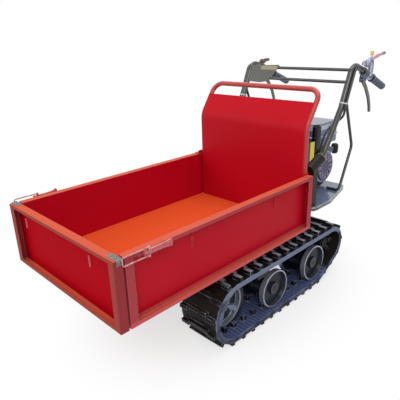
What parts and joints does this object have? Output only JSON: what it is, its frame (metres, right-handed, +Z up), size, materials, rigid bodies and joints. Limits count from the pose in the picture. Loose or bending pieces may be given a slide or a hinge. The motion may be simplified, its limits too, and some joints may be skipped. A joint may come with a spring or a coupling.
{
  "type": "tracked power carrier",
  "caption": "Petrol mini dumper on rubber tracks: tipping red steel load bed with slide-out sides and gate, headboard, engine platform and walk-behind handlebar",
  "frame": {"origin": "On the ground, under the middle of the whole machine's box", "axes": "+X to the machine's left, the side the picture shows; -Y towards the gate, the end that tips; +Y towards the handles; +Z up"},
  "size_m": [0.6962, 1.6562, 1.026],
  "materials": {
    "red_paint": "glossy powder coat on sheet and tube steel",
    "floor_paint": "glossy powder coat, lit from above",
    "zinc": "zinc plated steel",
    "black_paint": "satin black powder coat",
    "track_rubber": "moulded rubber",
    "wheel_iron": "black painted cast iron",
    "engine_alloy": "die-cast aluminium, dark",
    "black_plastic": "moulded plastic",
    "grip_rubber": "ribbed rubber",
    "bare_steel": "turned or pressed steel",
    "cast_alloy": "cast aluminium",
    "red_lever": "faded red coat",
    "yellow_plastic": "moulded plastic",
    "cable_jacket": "extruded jacket",
    "tie_plastic": "nylon tie",
    "rope_cord": "braided cord"
  },
  "bodies": {
    "carrier": {"chassis_frame": "black_paint", "cross_tubes_and_ears": "black_paint", "tray_pivot_pin": "zinc", "idler_yokes": "black_paint", "track_belt_left": "track_rubber", "track_belt_right": "track_rubber", "gearbox": "wheel_iron", "engine_platform": "black_paint", "crankcase": "engine_alloy", "cylinder_head": "engine_alloy", "fan_shroud": "black_paint", "recoil_cover": "black_plastic", "fuel_tank": "black_paint", "muffler": "black_paint", "air_cleaner": "black_plastic", "drive_belt": "grip_rubber", "handle_posts": "black_paint", "handle_arm_left": "black_paint", "handle_arm_right": "black_paint", "crossbars": "black_paint", "brace_rods": "black_paint", "grips": "grip_rubber", "lever_perches": "black_plastic", "clutch_perch": "cast_alloy", "throttle_housing": "black_plastic", "console_plate": "black_paint", "control_cables": "cable_jacket", "cable_ties": "tie_plastic", "frame_bolts": "zinc"},
    "tray": {"tray_floor": "floor_paint", "tray_subframe": "red_paint", "headboard_sheet": "red_paint", "headboard_tube": "red_paint"},
    "gate": {"gate": "red_paint", "gate_hooks": "zinc"},
    "panel_left": {"side_panel_left": "red_paint"},
    "panel_right": {"side_panel_right": "red_paint"},
    "starter": {"starter_handle": "black_plastic", "starter_rope": "rope_cord"},
    "latch_lever_left": {"latch_lever_left": "red_paint"},
    "latch_lever_right": {"latch_lever_right": "red_paint"},
    "latch_bail_left": {"latch_bail_left": "zinc"},
    "latch_bail_right": {"latch_bail_right": "zinc"},
    "front_idler_left": {"front_idler_left": "wheel_iron"},
    "front_idler_right": {"front_idler_right": "wheel_iron"},
    "road_wheel_front_left": {"road_wheel_front_left": "wheel_iron"},
    "road_wheel_rear_left": {"road_wheel_rear_left": "wheel_iron"},
    "road_wheel_front_right": {"road_wheel_front_right": "wheel_iron"},
    "road_wheel_rear_right": {"road_wheel_rear_right": "wheel_iron"},
    "drive_sprocket_left": {"drive_sprocket_left": "wheel_iron"},
    "drive_sprocket_right": {"drive_sprocket_right": "wheel_iron"},
    "steering_lever_left": {"steering_lever_left": "bare_steel"},
    "steering_lever_right": {"steering_lever_right": "bare_steel"},
    "clutch_lever": {"clutch_lever": "red_lever"},
    "lock_knob": {"lock_knob": "yellow_plastic"},
    "throttle_lever": {"throttle_lever": "cast_alloy"},
    "fuel_cap": {"fuel_cap": "black_plastic"},
    "crank_pulley": {"crank_pulley": "bare_steel"},
    "gearbox_pulley": {"gearbox_pulley": "bare_steel"},
    "tension_arm": {"tension_arm": "bare_steel"}
  },
  "joints": [
    {"name": "tray_tip", "type": "hinge", "parent": "carrier", "child": "tray", "pos_m": [0, -0.39812, 0.306], "axis": [1, 0, 0], "range_deg": [0, 45]},
    {"name": "gate_slide", "type": "slide", "parent": "tray", "child": "gate", "axis": [0, -1, 0], "range_m": [0, 0.16]},
    {"name": "panel_left_slide", "type": "slide", "parent": "tray", "child": "panel_left", "axis": [1, 0, 0], "range_m": [0, 0.16]},
    {"name": "latch_lever_left_swing", "type": "hinge", "parent": "panel_left", "child": "latch_lever_left", "pos_m": [0.339, -0.72812, 0.557], "axis": [0, 0, -1], "range_deg": [0, 150]},
    {"name": "latch_bail_left_swing", "type": "hinge", "parent": "latch_lever_left", "child": "latch_bail_left", "pos_m": [0.339, -0.71612, 0.557], "axis": [0, 0, 1], "range_deg": [0, 175]},
    {"name": "road_wheel_front_left_spin", "type": "hinge", "parent": "carrier", "child": "road_wheel_front_left", "pos_m": [0.235, -0.05912, 0.1188], "axis": [1, 0, 0], "continuous": true},
    {"name": "road_wheel_rear_left_spin", "type": "hinge", "parent": "carrier", "child": "road_wheel_rear_left", "pos_m": [0.235, 0.23988, 0.1188], "axis": [1, 0, 0], "continuous": true},
    {"name": "front_idler_left_spin", "type": "hinge", "parent": "carrier", "child": "front_idler_left", "pos_m": [0.235, -0.31412, 0.1408], "axis": [1, 0, 0], "continuous": true},
    {"name": "drive_sprocket_left_spin", "type": "hinge", "parent": "carrier", "child": "drive_sprocket_left", "pos_m": [0.235, 0.35988, 0.168], "axis": [1, 0, 0], "continuous": true},
    {"name": "steering_lever_left_squeeze", "type": "hinge", "parent": "carrier", "child": "steering_lever_left", "pos_m": [0.28, 0.60685, 0.90251], "axis": [1, 0, 0], "range_deg": [0, 28], "stiffness_Nm_per_rad": 3, "springref_deg": -20.05},
    {"name": "panel_right_slide", "type": "slide", "parent": "tray", "child": "panel_right", "axis": [-1, 0, 0], "range_m": [0, 0.16]},
    {"name": "latch_lever_right_swing", "type": "hinge", "parent": "panel_right", "child": "latch_lever_right", "pos_m": [-0.339, -0.72812, 0.557], "axis": [0, 0, 1], "range_deg": [0, 150]},
    {"name": "latch_bail_right_swing", "type": "hinge", "parent": "latch_lever_right", "child": "latch_bail_right", "pos_m": [-0.339, -0.71612, 0.557], "axis": [0, 0, -1], "range_deg": [0, 175]},
    {"name": "road_wheel_front_right_spin", "type": "hinge", "parent": "carrier", "child": "road_wheel_front_right", "pos_m": [-0.235, -0.05912, 0.1188], "axis": [1, 0, 0], "continuous": true},
    {"name": "road_wheel_rear_right_spin", "type": "hinge", "parent": "carrier", "child": "road_wheel_rear_right", "pos_m": [-0.235, 0.23988, 0.1188], "axis": [1, 0, 0], "continuous": true},
    {"name": "front_idler_right_spin", "type": "hinge", "parent": "carrier", "child": "front_idler_right", "pos_m": [-0.235, -0.31412, 0.1408], "axis": [1, 0, 0], "continuous": true},
    {"name": "drive_sprocket_right_spin", "type": "hinge", "parent": "carrier", "child": "drive_sprocket_right", "pos_m": [-0.235, 0.35988, 0.168], "axis": [1, 0, 0], "continuous": true},
    {"name": "steering_lever_right_squeeze", "type": "hinge", "parent": "carrier", "child": "steering_lever_right", "pos_m": [-0.28, 0.60685, 0.90251], "axis": [1, 0, 0], "range_deg": [0, 28], "stiffness_Nm_per_rad": 3, "springref_deg": -20.05},
    {"name": "clutch_lever_press", "type": "hinge", "parent": "carrier", "child": "clutch_lever", "pos_m": [0.28, 0.60083, 0.97696], "axis": [-1, 0, 0], "range_deg": [0, 28], "stiffness_Nm_per_rad": 3, "springref_deg": -20.05},
    {"name": "tension_arm_swing", "type": "hinge", "parent": "carrier", "child": "tension_arm", "pos_m": [-0.156, 0.55988, 0.424], "axis": [1, 0, 0], "range_deg": [0, 13]},
    {"name": "lock_knob_push", "type": "slide", "parent": "carrier", "child": "lock_knob", "axis": [0, 0, -1], "range_m": [0, 0.006], "stiffness_N_per_m": 400, "springref_m": -0.004},
    {"name": "throttle_lever_turn", "type": "hinge", "parent": "carrier", "child": "throttle_lever", "pos_m": [-0.28, 0.60046, 0.97603], "axis": [1, 0, 0], "range_deg": [0, 40]},
    {"name": "starter_pull", "type": "slide", "parent": "carrier", "child": "starter", "axis": [0, 1, 0], "range_m": [0, 0.45], "stiffness_N_per_m": 15, "springref_m": -0.5},
    {"name": "fuel_cap_twist", "type": "hinge", "parent": "carrier", "child": "fuel_cap", "pos_m": [0.07, 0.47188, 0.756], "axis": [0, 0, 1], "range_deg": [0, 90]},
    {"name": "crank_pulley_spin", "type": "hinge", "parent": "carrier", "child": "crank_pulley", "pos_m": [-0.15, 0.47588, 0.506], "axis": [1, 0, 0], "continuous": true},
    {"name": "gearbox_pulley_spin", "type": "hinge", "parent": "carrier", "child": "gearbox_pulley", "pos_m": [-0.15, 0.38688, 0.34], "axis": [1, 0, 0], "continuous": true}
  ],
  "couplings": [
    {"joint": "latch_bail_left_swing", "follows": "latch_lever_left_swing", "ratio": 1.15},
    {"joint": "road_wheel_rear_left_spin", "follows": "road_wheel_front_left_spin", "ratio": 1},
    {"joint": "front_idler_left_spin", "follows": "road_wheel_front_left_spin", "ratio": 0.7901},
    {"joint": "drive_sprocket_left_spin", "follows": "road_wheel_front_left_spin", "ratio": 1.1532},
    {"joint": "latch_bail_right_swing", "follows": "latch_lever_right_swing", "ratio": 1.15},
    {"joint": "road_wheel_rear_right_spin", "follows": "road_wheel_front_right_spin", "ratio": 1},
    {"joint": "front_idler_right_spin", "follows": "road_wheel_front_right_spin", "ratio": 0.7901},
    {"joint": "drive_sprocket_right_spin", "follows": "road_wheel_front_right_spin", "ratio": 1.1532},
    {"joint": "tension_arm_swing", "follows": "clutch_lever_press", "ratio": 0.4286}
  ]
}
